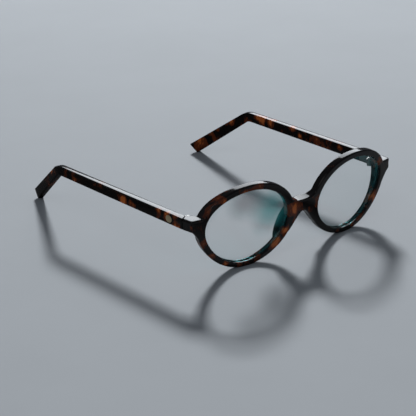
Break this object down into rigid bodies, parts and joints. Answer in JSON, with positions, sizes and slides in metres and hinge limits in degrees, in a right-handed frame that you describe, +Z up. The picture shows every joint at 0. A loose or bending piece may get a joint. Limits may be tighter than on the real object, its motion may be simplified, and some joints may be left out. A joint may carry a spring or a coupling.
{
  "type": "reading glasses",
  "caption": "Round reading glasses standing open: tortoiseshell acetate front with a saddle bridge, clear coated lenses and folding temples with cranked ear ends.",
  "frame": {"origin": "middle of the open glasses, on the plane that the rims and temple tips stand on", "axes": "+Z up, -Y the way the wearer looks, +X to the wearer's left"},
  "size_m": [0.1334, 0.1583, 0.0438],
  "materials": {
    "acetate": "polished tortoiseshell",
    "lens": "clear, with an anti-reflection coating that shows teal",
    "steel": "satin",
    "gold": "polished"
  },
  "bodies": {
    "front": {"front_frame": "acetate", "lens_left": "lens", "lens_right": "lens", "nose_pad_left": "acetate", "nose_pad_right": "acetate", "hinge_left_front_leaf": "steel", "hinge_right_front_leaf": "steel", "hinge_left_screw": "steel", "hinge_right_screw": "steel"},
    "temple_left": {"temple_left": "acetate", "core_wire_left": "steel", "hinge_left_temple_leaf": "steel", "inlay_left": "gold"},
    "temple_right": {"temple_right": "acetate", "core_wire_right": "steel", "hinge_right_temple_leaf": "steel", "inlay_right": "gold"}
  },
  "joints": [
    {"name": "temple_left_hinge", "type": "hinge", "parent": "front", "child": "temple_left", "pos_m": [0.0606, -0.06173, 0.02786], "axis": [0, 0, 1], "range_deg": [0, 90]},
    {"name": "temple_right_hinge", "type": "hinge", "parent": "front", "child": "temple_right", "pos_m": [-0.0606, -0.06173, 0.02786], "axis": [0, 0, -1], "range_deg": [0, 77]}
  ]
}
